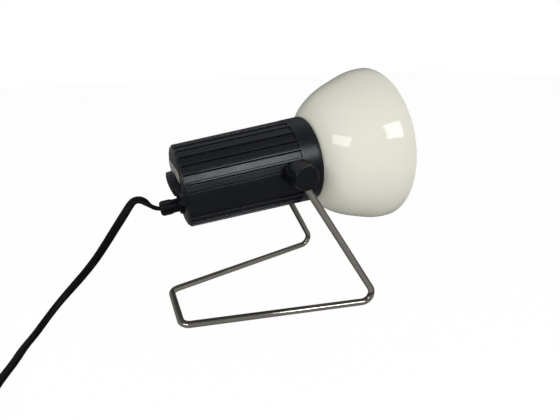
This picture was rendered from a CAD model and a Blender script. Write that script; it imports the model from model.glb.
"""Dresses the infrared lamp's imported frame: a ribbed black barrel with an ivory shade and a red
reflector bulb, clamped between the flattened eyes of a bent wire stand, with a flat mains cord.

Sizes are in millimetres in the classes below and become metres when a mesh is made. Along the
lamp's own axis, s runs from the knobs towards the shade's rim, y towards the far side and z up.
"""

import logging
import math
from dataclasses import dataclass, field, replace
from enum import Enum

import bpy
import numpy as np
from mathutils import Matrix, Vector


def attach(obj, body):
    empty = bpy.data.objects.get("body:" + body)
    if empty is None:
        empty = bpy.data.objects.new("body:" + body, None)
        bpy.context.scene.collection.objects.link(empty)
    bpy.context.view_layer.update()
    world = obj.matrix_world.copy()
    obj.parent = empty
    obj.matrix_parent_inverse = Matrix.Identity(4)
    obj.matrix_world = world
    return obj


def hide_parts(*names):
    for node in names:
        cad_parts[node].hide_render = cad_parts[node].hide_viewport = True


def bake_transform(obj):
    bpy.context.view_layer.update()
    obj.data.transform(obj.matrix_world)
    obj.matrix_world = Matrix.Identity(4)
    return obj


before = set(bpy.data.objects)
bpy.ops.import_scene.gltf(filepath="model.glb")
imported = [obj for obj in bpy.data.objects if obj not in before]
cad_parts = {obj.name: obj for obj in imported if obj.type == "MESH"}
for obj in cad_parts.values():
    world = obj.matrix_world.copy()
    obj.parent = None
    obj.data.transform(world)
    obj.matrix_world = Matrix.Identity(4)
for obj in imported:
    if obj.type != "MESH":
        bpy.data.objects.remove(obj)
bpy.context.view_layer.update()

log = logging.getLogger("infrared_lamp")
Array = np.ndarray
Socket = bpy.types.NodeSocket
Colour = tuple[float, float, float]
Spot = tuple[float, float, float]
Corner = tuple[float, float, float]
MM = 0.001
# The black mouldings have a slightly blue sheen in the photograph.
BLUISH = (0.89, 0.95, 1.0, 1.0)
# How far the lamp's axis runs below the knobs' axis.
AXIS_DROP = 3.0
# Radius of the small ring that stands for a point on a lathe's axis.
AXIS_RING = 0.02
# How far the cap's screws and their posts stand to each side of the lamp's axis, and below it.
CAP_SCREWS = (26.67, 1.25)


# Curves


def unit(vectors: Array) -> Array:
    """The same directions, each with a length of one."""
    return vectors / np.maximum(np.linalg.norm(vectors, axis=-1, keepdims=True), 1e-12)


def ways(path: Array) -> Array:
    """The direction along a path at each of its points."""
    return unit(np.gradient(path, axis=0))


def distance_along(path: Array) -> Array:
    """How far along a path each of its points is."""
    return np.concatenate([[0], np.cumsum(np.linalg.norm(np.diff(path, axis=0), axis=1))])


def rightwards(way: Array) -> Array:
    """Directions in a plane, each turned a quarter to the right."""
    return np.stack([way[:, 1], -way[:, 0]], -1)


def full_turn(steps: int) -> Array:
    """The angles of a full turn, without its end."""
    return np.linspace(0, 2 * np.pi, steps, endpoint=False)


def ease(share: Array) -> Array:
    """A smooth step from 0 to 1, three times the square less twice the cube."""
    share = np.clip(share, 0, 1)
    return share * share * (3 - 2 * share)


def stacked(*parts: Array | float) -> Array:
    """Points from their parts, each part repeated to the shape of them all."""
    return np.stack(np.broadcast_arrays(*parts), -1)


def oval(turn: Array, wide: Array, thick: Array, power: Array) -> tuple[Array, Array]:
    """An oval with squarer sides: the cosine and the sine, with their signs, each to a power.

    Args:
        turn: The angles round it.
        wide: Its half width, by which the first part is multiplied.
        thick: Its half thickness, by which the second is.
        power: The power, one for a plain oval and less for a squarer one.

    Returns:
        The points' first and second parts.
    """
    c, s = np.cos(turn), np.sin(turn)
    return wide * np.sign(c) * np.abs(c) ** power, thick * np.sign(s) * np.abs(s) ** power


def straight(start: Array, stop: Array, spacing: float = 2.5) -> Array:
    """Evenly spaced points from one place to another, without the first."""
    count = max(int(np.linalg.norm(stop - start) / spacing), 1)
    return start + (stop - start) * np.linspace(0, 1, count + 1)[1:, None]


# Surfaces


@dataclass
class Surface:
    """Points in millimetres, the faces between them and values kept for each point.

    Attributes:
        points: One row of x, y, z for each point.
        quads: One row of four point numbers for each face of a grid.
        caps: Faces with any number of points, such as the end of a tube.
        marks: Values by name, one row for each point, that the finishes read.
    """

    points: Array
    quads: Array
    caps: list[list[int]] = field(default_factory=list)
    marks: dict[str, Array] = field(default_factory=dict)

    def turned_out(self) -> "Surface":
        """Turns every face outwards, by the sign of the volume that the faces enclose.

        Returns:
            The same surface, with its faces reversed if they pointed inwards.
        """
        a, b, c, d = (self.points[self.quads[:, i]] for i in range(4))
        volume = np.einsum("ij,ij->", a, np.cross(b, c)) + np.einsum("ij,ij->", a, np.cross(c, d))
        for cap in self.caps:
            ring = self.points[cap]
            volume += np.einsum("ij,ij->", np.cross(ring[1:-1], ring[2:]), ring[:1].repeat(len(ring) - 2, 0))
        if volume < 0:
            self.quads = self.quads[:, ::-1]
            self.caps = [cap[::-1] for cap in self.caps]
        return self


def joined(*parts: Surface) -> Surface:
    """Puts several closed surfaces into one.

    Args:
        parts: The surfaces. A mark that one of them lacks is zero there.

    Returns:
        One surface with all their points and faces.
    """
    shifts = np.cumsum([0] + [len(part.points) for part in parts[:-1]])
    names = {name: mark for part in parts for name, mark in part.marks.items()}
    marks = {
        name: np.concatenate(
            [part.marks.get(name, np.zeros((len(part.points),) + mark.shape[1:])) for part in parts]
        )
        for name, mark in names.items()
    }
    caps = [[i + int(shift) for i in cap] for part, shift in zip(parts, shifts) for cap in part.caps]
    return Surface(
        np.concatenate([part.points for part in parts]),
        np.concatenate([part.quads + shift for part, shift in zip(parts, shifts)]),
        caps,
        marks,
    )


def skin(
    grid: Array, wrap_rows: bool = False, capped: bool = True, marks: dict[str, Array] | None = None
) -> Surface:
    """Joins the points of a grid whose columns run round a closed loop.

    Args:
        grid: Points as rows by columns by three.
        wrap_rows: True where the last row meets the first, as on a ring.
        capped: True where the first and last rows are closed by a face each.
        marks: Values by name, each as rows by columns, or by a third number of parts.

    Returns:
        The closed surface, its faces outwards.
    """
    rows, columns = grid.shape[:2]
    r, c = np.meshgrid(np.arange(rows if wrap_rows else rows - 1), np.arange(columns), indexing="ij")
    on, over = (r + 1) % rows, (c + 1) % columns
    quads = np.stack([r * columns + c, r * columns + over, on * columns + over, on * columns + c], -1)
    caps = []
    if capped and not wrap_rows:
        last = (rows - 1) * columns
        caps = [list(range(columns))[::-1], list(range(last, last + columns))]
    flat_marks = {
        name: np.asarray(mark, float).reshape((rows * columns,) + mark.shape[2:])
        for name, mark in (marks or {}).items()
    }
    return Surface(grid.reshape(-1, 3), quads.reshape(-1, 4), caps, flat_marks).turned_out()


@dataclass(frozen=True)
class Place:
    """Where a piece is drawn.

    Attributes:
        origin: Its origin in the row frame, in millimetres.
        along: Direction of its first axis.
        across: Direction of its second.
        up: Direction of its third.
    """

    origin: Spot
    along: Spot
    across: Spot
    up: Spot

    def at(self, points: Array) -> Array:
        """Takes points from this place's axes to the row frame, by adding up the three axes.

        Args:
            points: Points with their three parts last.

        Returns:
            The same points in the row frame, in millimetres.
        """
        axes = np.array([self.along, self.across, self.up], float)
        return np.asarray(points, float) @ axes + np.array(self.origin, float)

    def moved(self, s: float, y: float, z: float) -> "Place":
        """The same axes from another origin, given in this place's own axes."""
        return Place(tuple(self.at(np.array([s, y, z]))), self.along, self.across, self.up)


TILT = math.radians(5.2)
PIVOT = (3.46254, 0.0, 125.8)
HEAD = Place(
    (PIVOT[0] + AXIS_DROP * math.sin(TILT), 0.0, PIVOT[2] - AXIS_DROP * math.cos(TILT)),
    (math.cos(TILT), 0.0, math.sin(TILT)),
    (0.0, 1.0, 0.0),
    (-math.sin(TILT), 0.0, math.cos(TILT)),
)


def knob_place(side: int) -> Place:
    """The knobs' axis, outwards from the lamp's middle plane on one side."""
    return Place(PIVOT, (0, side, 0), HEAD.along, HEAD.up)


def lathe(
    profile: Array, place: Place, steps: int = 96, wrap: bool = False, ripple: Array | float = 0.0
) -> Surface:
    """Turns an outline round the first axis of a place.

    A point at a distance along the axis and a radius r comes to r times the sine and cosine of
    the angle in the other two directions. An end on the axis becomes a very small ring.

    Args:
        profile: Rows of distance along the axis and radius.
        place: Where the axis is.
        steps: How many points go round.
        wrap: True where the outline is closed, as for a ring.
        ripple: What is added to the radius, as rows by steps, where the piece isn't round.

    Returns:
        The closed surface in the row frame.
    """
    angle = full_turn(steps)
    radius = np.maximum(profile[:, 1:], AXIS_RING) + ripple
    grid = stacked(profile[:, :1], -radius * np.sin(angle), radius * np.cos(angle))
    return skin(place.at(grid), wrap_rows=wrap, capped=not wrap)


def rounded(corners: list[Corner], steps: int = 6, closed: bool = True) -> Array:
    """An outline with an arc at each corner, tangent to both of its sides.

    Args:
        corners: Each corner's two distances and the radius of its arc.
        steps: How many points an arc gets, less one.
        closed: False where the first and last corners are the outline's ends.

    Returns:
        The outline's points in order.
    """
    spots = np.array([corner[:2] for corner in corners], float)
    radii = [corner[2] for corner in corners]
    pieces = []
    for i, (spot, radius) in enumerate(zip(spots, radii)):
        if radius <= 0 or (not closed and i in (0, len(spots) - 1)):
            pieces.append(spot[None])
            continue
        back = spots[i - 1] - spot
        on = spots[(i + 1) % len(spots)] - spot
        back, on = back / np.linalg.norm(back), on / np.linalg.norm(on)
        half = (np.pi - np.arccos(np.clip(back @ on, -1, 1))) / 2
        middle = (back + on) / np.linalg.norm(back + on)
        centre = spot + middle * radius / np.cos(half)
        sideways = (on - back) / np.linalg.norm(on - back)
        turn = np.linspace(-half, half, steps + 1)[:, None]
        pieces.append(centre - middle * radius * np.cos(turn) + sideways * radius * np.sin(turn))
    return np.concatenate(pieces)


def slab(outline: Array, low: float, high: float, edge: float, place: Place) -> Surface:
    """A plate with rounded edges: its outline carried from one height to another.

    Each point is moved in along the outline's own normal by the edge's radius times one less the
    cosine of a quarter turn, while the height moves by the radius times its sine.

    Args:
        outline: Points of the outline in the place's second and third directions.
        low: First height, along the place's first direction.
        high: Second height.
        edge: Radius of both rounded edges.
        place: Where the plate is.

    Returns:
        The closed plate in the row frame.
    """
    ahead = unit(np.roll(outline, -1, 0) - outline)
    way = unit(ahead + np.roll(ahead, 1, 0))
    x, y = outline.T
    turns_left = np.sum(x * np.roll(y, -1) - np.roll(x, -1) * y) > 0
    inward = rightwards(way) * (-1 if turns_left else 1)
    turn = np.linspace(0, np.pi / 2, 5)
    first, last = edge * (1 - np.sin(turn)), edge * (1 - np.cos(turn))
    inset = np.concatenate([first, last])[:, None]
    height = np.concatenate([low + last, high - first])[:, None]
    grid = stacked(height, outline[:, 0] + inward[:, 0] * inset, outline[:, 1] + inward[:, 1] * inset)
    return skin(place.at(grid))


def swept(path: Array, thin: Array, section: Array) -> Surface:
    """Carries a section along a path.

    A section's point (a, b) comes to the path's point, plus a times the broad direction, plus b
    times the thin one. The broad direction is the way along the path crossed with the thin one.

    Args:
        path: The path's points in the row frame, in millimetres.
        thin: The wished thin direction, one for all points or one for each. It is first made
            square to the path.
        section: The section's points, the same all along or one set for each point of the path.

    Returns:
        The closed tube. Its mark "lay" is the distance along it and the section's own a and b.
    """
    way = ways(path)
    thin = unit(thin - way * np.sum(thin * way, -1, keepdims=True))
    broad = np.cross(way, thin)
    section = np.broadcast_to(section, (len(path),) + section.shape[-2:])
    grid = path[:, None] + broad[:, None] * section[..., :1] + thin[:, None] * section[..., 1:]
    lay = stacked(distance_along(path)[:, None], section[..., 0], section[..., 1])
    return skin(grid, marks={"lay": lay * MM})


def ring_section(radius: float, steps: int = 12) -> Array:
    """The points of a round section."""
    turn = full_turn(steps)
    return radius * stacked(np.cos(turn), np.sin(turn))


def tangent_arcs(points: list[tuple[float, float]], slope: float, steps: int = 10) -> Array:
    """A smooth outline of arcs, each tangent to the last, through given points.

    The chord between two points turns away from the heading by half of what the arc turns, so
    each arc's turn is twice the angle between the heading and the chord.

    Args:
        points: Distance along the axis and radius of each point.
        slope: Heading at the first point, in degrees from the axis.
        steps: How many runs each arc is cut into.

    Returns:
        The outline's points, the first and last as given.
    """
    heading = math.radians(slope)
    runs = [np.array(points[:1], float)]
    for start, stop in zip(points, points[1:]):
        chord = np.array(stop, float) - np.array(start, float)
        turn = 2 * (math.atan2(chord[1], chord[0]) - heading)
        part = np.linspace(0, turn, steps + 1)[1:]
        if abs(turn) < 1e-6:
            runs.append(np.array(start) + chord * np.linspace(0, 1, steps + 1)[1:, None])
        else:
            radius = np.linalg.norm(chord) / (2 * math.sin(turn / 2))
            step = np.stack(
                [np.sin(heading + part) - np.sin(heading), np.cos(heading) - np.cos(heading + part)], -1
            )
            runs.append(np.array(start) + radius * step)
        heading += turn
    return np.concatenate(runs)


def wall_of(outer: Array, thickness: float, lip: int = 7) -> Array:
    """A closed wall on the inner side of an outline, with a half-round lip at its last point.

    Args:
        outer: The outer face's outline, from the back to the rim.
        thickness: The wall's thickness.
        lip: How many points the lip gets.

    Returns:
        The wall's closed outline: the outer face, the lip and the inner face back again.
    """
    way = ways(outer)
    inward = rightwards(way)
    turn = np.linspace(0, np.pi, lip + 2)[1:-1, None]
    half = thickness / 2
    round_end = outer[-1] + half * (inward[-1] * (1 - np.cos(turn)) + way[-1] * np.sin(turn))
    return np.concatenate([outer, round_end, (outer + inward * thickness)[::-1]])


# Finishes


class Nodes:
    """A node tree that is being put together."""

    def __init__(self, tree: bpy.types.NodeTree) -> None:
        """Starts with an empty tree."""
        self.tree = tree
        tree.nodes.clear()

    def add(self, kind: str, sockets: dict | None = None, **settings: object) -> bpy.types.Node:
        """Adds a node.

        Args:
            kind: The node's type.
            sockets: Values or sources of its inputs, by name or number.
            settings: Its other settings.

        Returns:
            The node.
        """
        node = self.tree.nodes.new(kind)
        for name, value in settings.items():
            setattr(node, name, value)
        for name, value in (sockets or {}).items():
            if isinstance(value, Socket):
                self.link(value, node.inputs[name])
            else:
                node.inputs[name].default_value = value
        return node

    def link(self, source: Socket, target: Socket) -> None:
        """Joins two sockets."""
        self.tree.links.new(source, target)

    def calc(self, operation: str, *values: Socket | float) -> Socket:
        """What a math node makes of its values."""
        return self.add("ShaderNodeMath", dict(enumerate(values)), operation=operation).outputs[0]

    def spread(self, value: Socket, low: float, high: float, first: float, last: float) -> Socket:
        """Maps low to first and high to last, and keeps to that range."""
        sockets = {0: value, 1: low, 2: high, 3: first, 4: last}
        return self.add("ShaderNodeMapRange", sockets).outputs[0]

    def ray(self, kind: str) -> Socket:
        """One for the rays of a kind, and nought for the others."""
        return self.add("ShaderNodeLightPath").outputs[kind]

    def mirrored(self) -> Socket:
        """One for the rays that a glossy or clear surface sends on."""
        return self.calc("MAXIMUM", self.ray("Is Glossy Ray"), self.ray("Is Transmission Ray"))


class Recipe(Nodes):
    """A material that is being put together."""

    def __init__(self, name: str) -> None:
        """Starts a material with a plain shader and its output.

        Args:
            name: The material's name.
        """
        self.material = bpy.data.materials.new(name)
        self.material.use_nodes = True
        super().__init__(self.material.node_tree)
        self.shader = self.add("ShaderNodeBsdfPrincipled")
        self.output = self.add("ShaderNodeOutputMaterial", {"Surface": self.shader.outputs[0]})

    def fix(self, **values: object) -> None:
        """Sets values that are the same all over, by the shader's own socket names."""
        for name, value in values.items():
            self.shader.inputs[name.replace("_", " ")].default_value = value

    def where(self, stretch: Spot = (1, 1, 1), turn: Spot = (0, 0, 0)) -> Socket:
        """The point on the piece, in metres, stretched and then turned."""
        source = self.add("ShaderNodeTexCoord").outputs["Object"]
        sockets = {"Vector": source, "Scale": stretch, "Rotation": turn}
        return self.add("ShaderNodeMapping", sockets).outputs[0]

    def lay(self, stretch: Spot) -> Socket:
        """The point on a straightened tube: along it and in its section, stretched."""
        source = self.add("ShaderNodeAttribute", attribute_name="lay").outputs["Vector"]
        return self.add("ShaderNodeMapping", {"Vector": source, "Scale": stretch}).outputs[0]

    def mark(self, name: str) -> Socket:
        """A value that the piece's points carry."""
        return self.add("ShaderNodeAttribute", attribute_name=name).outputs["Fac"]

    def noise(self, where: Socket, scale: float, detail: float = 3) -> Socket:
        """Cloudy noise, so many cells to the metre."""
        sockets = {"Vector": where, "Scale": scale, "Detail": detail, "Roughness": 0.55}
        return self.add("ShaderNodeTexNoise", sockets).outputs["Fac"]

    def cells(self, where: Socket, scale: float) -> Socket:
        """Distance from the nearest of scattered points, so many to the metre."""
        return self.add("ShaderNodeTexVoronoi", {"Vector": where, "Scale": scale}).outputs["Distance"]

    def sum(self, a: Socket, b: Socket, share: float) -> Socket:
        """The first value and a share of the second."""
        return self.calc("MULTIPLY_ADD", b, share, a)

    def product(self, a: Socket, b: Socket) -> Socket:
        """One value times another."""
        return self.calc("MULTIPLY", a, b)

    def tint(self, share: Socket, first: Colour | Socket, last: Colour | Socket) -> Socket:
        """A colour between two, the second where share is one."""
        ends = [colour if isinstance(colour, Socket) else (*colour, 1) for colour in (first, last)]
        return self.add("ShaderNodeMix", {0: share, 6: ends[0], 7: ends[1]}, data_type="RGBA").outputs[2]

    def paint(self, colour: Socket) -> None:
        """Gives the shader its colour."""
        self.link(colour, self.shader.inputs["Base Color"])

    def coat(
        self, colour: Socket, gloss: Socket, rough: tuple[float, float], height: Socket, depth: float
    ) -> None:
        """Gives the shader its colour, its roughness and its relief.

        Args:
            colour: The colour.
            gloss: The noise that the roughness follows.
            rough: The least roughness and the greatest.
            height: What the relief follows.
            depth: The relief's depth, in millimetres.
        """
        self.paint(colour)
        self.link(self.spread(gloss, 0.3, 0.7, *rough), self.shader.inputs["Roughness"])
        sockets = {"Height": height, "Distance": depth * MM, "Strength": 1.0}
        self.link(self.add("ShaderNodeBump", sockets).outputs[0], self.shader.inputs["Normal"])


@dataclass(frozen=True)
class Finish:
    """A finish of one of the lamp's materials. Each kind makes its own nodes.

    Attributes:
        name: The material's name.
        slot: The record's name for the material.
        base: Its first colour.
        second: The colour that it changes to in places.
        rough: Its least and greatest roughness.
    """

    name: str
    slot: str
    base: Colour
    second: Colour
    rough: tuple[float, float]

    def material(self) -> bpy.types.Material:
        """The finish's material, made the first time that it is asked for."""
        if self.name not in bpy.data.materials:
            self.make(Recipe(self.name))
        return bpy.data.materials[self.name]

    def make(self, recipe: Recipe) -> None:
        """Mixes two colours by cloudy noise, with a slight relief and uneven gloss.

        Args:
            recipe: The material that is being made.
        """
        spot = recipe.where()
        fine = recipe.noise(spot, 900)
        colour = recipe.tint(recipe.noise(spot, 140), self.base, self.second)
        recipe.coat(colour, fine, self.rough, fine, 0.01)


@dataclass(frozen=True)
class GrainedBlack(Finish):
    """Black moulding with a spark-eroded grain and a blue sheen, paler where hands rub it.

    Attributes:
        worn: Its colour where it is rubbed, on the ribs' tops and on the fin.
        grain: The grain's depth, in millimetres.
    """

    worn: Colour = (0.05, 0.051, 0.056)
    grain: float = 0.05

    def make(self, recipe: Recipe) -> None:
        """Fine and coarse grain in one relief, patchy gloss, and rubbed places.

        Args:
            recipe: The material that is being made.
        """
        spot = recipe.where()
        fine, coarse = recipe.noise(spot, 1900, 2), recipe.noise(spot, 620, 2)
        patch = recipe.noise(spot, 55, 4)
        rub = recipe.product(recipe.mark("rub"), recipe.spread(patch, 0.35, 0.65, 0.25, 1.0))
        rub = recipe.product(rub, recipe.spread(fine, 0.3, 0.7, 0.5, 1.0))
        colour = recipe.tint(rub, recipe.tint(patch, self.base, self.second), self.worn)
        gloss, height = recipe.sum(patch, coarse, 0.35), recipe.sum(fine, coarse, 1.3)
        recipe.coat(colour, gloss, self.rough, height, self.grain)
        recipe.fix(Specular_IOR_Level=0.5, Specular_Tint=BLUISH)


@dataclass(frozen=True)
class SmoothBlack(Finish):
    """Smooth black moulding with fine handling scratches.

    Attributes:
        level: How strongly it mirrors.
    """

    level: float = 0.45

    def make(self, recipe: Recipe) -> None:
        """Faint waves in the surface, and crossed fine scratches in its gloss.

        Args:
            recipe: The material that is being made.
        """
        spot = recipe.where()
        one = recipe.noise(recipe.where((900, 60, 900), (0.4, 0.2, 0.7)), 1, 2)
        two = recipe.noise(recipe.where((70, 1000, 800), (0.1, 0.9, 0.3)), 1, 2)
        scratch = recipe.calc("MAXIMUM", one, two)
        colour = recipe.tint(recipe.noise(spot, 90, 4), self.base, self.second)
        height = recipe.sum(recipe.noise(spot, 260, 1), scratch, 0.25)
        recipe.coat(colour, scratch, self.rough, height, 0.02)
        recipe.fix(Specular_IOR_Level=self.level, Specular_Tint=BLUISH)


@dataclass(frozen=True)
class IvoryGloss(Finish):
    """Glossy ivory shade: slightly uneven in tone, with fine specks and an orange-peel skin.

    Attributes:
        speck: The specks' colour.
    """

    speck: Colour = (0.33, 0.29, 0.2)

    def make(self, recipe: Recipe) -> None:
        """Slow mottling, sparse specks, and slow waves in the gloss and in the skin.

        Args:
            recipe: The material that is being made.
        """
        spot = recipe.where()
        mottle = recipe.tint(recipe.noise(spot, 16, 4), self.base, self.second)
        speck = recipe.spread(recipe.cells(spot, 150), 0.03, 0.06, 1.0, 0.0)
        sparse = recipe.product(speck, recipe.spread(recipe.noise(spot, 75, 1), 0.6, 0.66, 0.0, 0.8))
        colour = recipe.tint(sparse, mottle, self.speck)
        height = recipe.sum(recipe.noise(spot, 240, 1), recipe.noise(spot, 30, 1), 2.0)
        recipe.coat(colour, recipe.noise(spot, 45, 4), self.rough, height, 0.02)
        recipe.fix(Specular_IOR_Level=0.4)


@dataclass(frozen=True)
class DrawnWire(Finish):
    """Nickel-plated wire with lines and streaks along it, dark upper and lower sides and dull spots.

    Attributes:
        side: Its colour along its upper and lower sides.
        side_from: Distances from its middle, in metres, where that colour begins and is full.
        tarnish: The dull spots' colour.
    """

    side: Colour = (0.08, 0.073, 0.062)
    side_from: tuple[float, float] = (0.0016, 0.0026)
    tarnish: Colour = (0.12, 0.09, 0.065)

    def make(self, recipe: Recipe) -> None:
        """Noise stretched along the wire for lines and streaks, and small spots of tarnish.

        Args:
            recipe: The material that is being made.
        """
        lines = recipe.noise(recipe.lay((14, 2600, 2600)), 1, 3)
        streak = recipe.noise(recipe.lay((9, 520, 520)), 1, 3)
        across = recipe.add("ShaderNodeSeparateXYZ", {0: recipe.lay((1, 1, 1))}).outputs[1]
        side = recipe.spread(recipe.calc("ABSOLUTE", across), *self.side_from, 0.0, 0.9)
        spot = recipe.where()
        dull = recipe.spread(recipe.noise(spot, 700, 3), 0.6, 0.72, 0.0, 1.0)
        patch = recipe.product(dull, recipe.spread(recipe.noise(spot, 40, 2), 0.45, 0.65, 0.0, 0.9))
        colour = recipe.tint(recipe.spread(streak, 0.4, 0.66, 0.0, 1.0), self.base, self.second)
        colour = recipe.tint(patch, recipe.tint(side, colour, self.side), self.tarnish)
        recipe.coat(colour, recipe.sum(lines, patch, 0.3), self.rough, lines, 0.0012)
        recipe.fix(Metallic=0.84)


@dataclass(frozen=True)
class PlainMetal(Finish):
    """Machined or pressed metal: fine turning lines along one direction and slight staining.

    Attributes:
        stretch: How many of its lines' cells go to the metre in each direction.
    """

    stretch: Spot = (1500, 200, 1500)

    def make(self, recipe: Recipe) -> None:
        """Stretched noise for tool lines over a slow change of colour.

        Args:
            recipe: The material that is being made.
        """
        lines = recipe.noise(recipe.where(self.stretch), 1, 3)
        stain = recipe.noise(recipe.where(), 220, 4)
        colour = recipe.tint(recipe.spread(stain, 0.4, 0.7, 0, 1), self.base, self.second)
        recipe.coat(colour, recipe.sum(lines, stain, 0.3), self.rough, lines, 0.006)
        recipe.fix(Metallic=1.0)


@dataclass(frozen=True)
class CordCover(Finish):
    """Soft black cord cover with faint drawing lines along it and a little dust."""

    def make(self, recipe: Recipe) -> None:
        """Lines along the cord in its relief, and slow dusty patches in its colour.

        Args:
            recipe: The material that is being made.
        """
        lines = recipe.noise(recipe.lay((25, 2200, 2200)), 1, 2)
        spot = recipe.where()
        dust = recipe.spread(recipe.noise(spot, 60, 5), 0.5, 0.75, 0.0, 1.0)
        colour = recipe.tint(dust, self.base, self.second)
        height = recipe.sum(lines, recipe.noise(spot, 160, 2), 1.5)
        recipe.coat(colour, recipe.sum(lines, dust, 0.4), self.rough, height, 0.02)
        recipe.fix(Specular_IOR_Level=0.14)


@dataclass(frozen=True)
class RubyReflector(Finish):
    """The bulb's glass: ruby-coated in front, and a silvered reflector behind its edge.

    Attributes:
        edge: Distance along the lamp's axis, in millimetres, where the ruby coat begins.
        red: What the ruby's colour changes to in places.
        grey: What the silver's does.
    """

    edge: float = 69.0
    red: Colour = (0.5, 0.012, 0.012)
    grey: Colour = (0.62, 0.62, 0.6)

    def make(self, recipe: Recipe) -> None:
        """The two coats by distance along the lamp's axis, each with its own faint unevenness.

        Args:
            recipe: The material that is being made.
        """
        along = recipe.add("ShaderNodeSeparateXYZ", {0: recipe.where(turn=(0, TILT, 0))}).outputs[0]
        start = float((HEAD.at(np.array([self.edge, 0, 0])) * MM) @ np.array(HEAD.along))
        spot = recipe.where()
        ragged = recipe.sum(along, recipe.noise(spot, 300, 2), 0.0006)
        front = recipe.spread(ragged, start, start + 0.0006, 0.0, 1.0)
        cloud = recipe.noise(spot, 70, 4)
        silver, ruby = recipe.tint(cloud, self.second, self.grey), recipe.tint(cloud, self.base, self.red)
        recipe.link(recipe.spread(front, 0, 1, 0.92, 0.0), recipe.shader.inputs["Metallic"])
        recipe.link(recipe.spread(front, 0, 1, 0.0, 0.35), recipe.shader.inputs["Transmission Weight"])
        recipe.coat(recipe.tint(front, silver, ruby), cloud, self.rough, recipe.noise(spot, 180, 2), 0.02)
        recipe.fix(IOR=1.5)


@dataclass(frozen=True)
class ClearGlass(Finish):
    """Clear or dark glass with faint waves.

    Attributes:
        clear: How much light it lets through.
    """

    clear: float = 0.9

    def make(self, recipe: Recipe) -> None:
        """Slow waves in the relief and a slight change of tone.

        Args:
            recipe: The material that is being made.
        """
        wave = recipe.noise(recipe.where(), 200, 2)
        recipe.coat(recipe.tint(wave, self.base, self.second), wave, self.rough, wave, 0.02)
        recipe.fix(Transmission_Weight=self.clear, IOR=1.5)


@dataclass(frozen=True)
class LabelFoil(Finish):
    """Pale satin label, bare of print, with fine brush lines and slow stains."""

    def make(self, recipe: Recipe) -> None:
        """Lines across the label, slow stains and a matt sheen.

        Args:
            recipe: The material that is being made.
        """
        lines = recipe.noise(recipe.where((3000, 90, 3000)), 1, 2)
        stain = recipe.noise(recipe.where(), 120, 5)
        colour = recipe.tint(recipe.spread(stain, 0.45, 0.75, 0, 1), self.base, self.second)
        recipe.coat(colour, recipe.sum(lines, stain, 0.2), self.rough, lines, 0.006)
        recipe.fix(Metallic=0.25)


BLACK_HOUSING = GrainedBlack(
    "grained_black", "black_housing", (0.0026, 0.0031, 0.0052), (0.004, 0.0045, 0.0066), (0.23, 0.33)
)
BLACK_SMOOTH = SmoothBlack(
    "smooth_black", "black_smooth", (0.003, 0.0034, 0.0052), (0.0045, 0.005, 0.0068), (0.24, 0.34)
)
NYLON_BLACK = SmoothBlack(
    "nylon_black", "black_smooth", (0.002, 0.0022, 0.003), (0.003, 0.0033, 0.0042), (0.26, 0.4), 0.2
)
PLUG_BLACK = SmoothBlack(
    "moulded_plug", "cord_cover", (0.009, 0.009, 0.0095), (0.015, 0.015, 0.016), (0.45, 0.6), 0.35
)
PIN_SLEEVE = SmoothBlack(
    "pin_sleeve", "sleeve_plastic", (0.01, 0.01, 0.011), (0.016, 0.016, 0.017), (0.38, 0.5), 0.4
)
TIE_BLACK = SmoothBlack(
    "tie_strap", "cord_cover", (0.018, 0.018, 0.019), (0.028, 0.028, 0.03), (0.5, 0.68), 0.3
)
LABEL = LabelFoil("pale_label", "label_foil", (0.36, 0.36, 0.33), (0.28, 0.27, 0.25), (0.35, 0.5))
IVORY = IvoryGloss("ivory_gloss", "ivory_shade", (0.64, 0.635, 0.555), (0.665, 0.66, 0.58), (0.04, 0.075))
WIRE = DrawnWire("nickel_wire", "wire_nickel", (0.42, 0.4, 0.355), (0.66, 0.625, 0.555), (0.07, 0.13))
SCREW = PlainMetal("zinc_screw", "screw_steel", (0.5, 0.5, 0.49), (0.62, 0.61, 0.58), (0.28, 0.45))
PLATE = PlainMetal(
    "zinc_plate", "plate_steel", (0.48, 0.48, 0.47), (0.6, 0.59, 0.55), (0.35, 0.55), (200, 1600, 1600)
)
BRASS = PlainMetal("pressed_brass", "brass", (0.68, 0.48, 0.2), (0.55, 0.37, 0.15), (0.25, 0.42))
ALUMINIUM = PlainMetal("bulb_cap_metal", "lamp_cap", (0.62, 0.62, 0.61), (0.5, 0.5, 0.48), (0.3, 0.48))
PIN_METAL = PlainMetal(
    "pin_metal", "pin_nickel", (0.6, 0.58, 0.54), (0.48, 0.46, 0.42), (0.18, 0.32), (1600, 120, 1600)
)
TUNGSTEN = PlainMetal("tungsten", "tungsten", (0.22, 0.22, 0.23), (0.15, 0.15, 0.15), (0.4, 0.6))
CORD = CordCover(
    "cord_cover_black", "cord_cover", (0.002, 0.002, 0.0024), (0.0042, 0.0042, 0.0046), (0.36, 0.5)
)
LEAD = CordCover("lead_cover", "lead_insulation", (0.028, 0.03, 0.06), (0.04, 0.042, 0.075), (0.4, 0.55))
PORCELAIN = Finish("porcelain", "porcelain", (0.7, 0.69, 0.65), (0.62, 0.61, 0.56), (0.14, 0.24))
FIBRE = Finish("fibre", "fibre", (0.16, 0.06, 0.035), (0.11, 0.042, 0.025), (0.6, 0.8))
RUBY = RubyReflector("ruby_reflector", "red_glass", (0.36, 0.006, 0.006), (0.72, 0.72, 0.71), (0.04, 0.09))
STEM_GLASS = ClearGlass("stem_glass", "clear_glass", (0.9, 0.92, 0.91), (0.86, 0.9, 0.89), (0.03, 0.08))
BLACK_GLASS = ClearGlass(
    "black_glass", "black_glass", (0.012, 0.012, 0.014), (0.02, 0.02, 0.022), (0.08, 0.16), 0.0
)


# Pieces


class Body(Enum):
    """The lamp's moving bodies, by their names in the frame."""

    STAND = "stand"
    HEAD = "head"
    NEAR_KNOB = "near_knob"
    FAR_KNOB = "far_knob"


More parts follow.
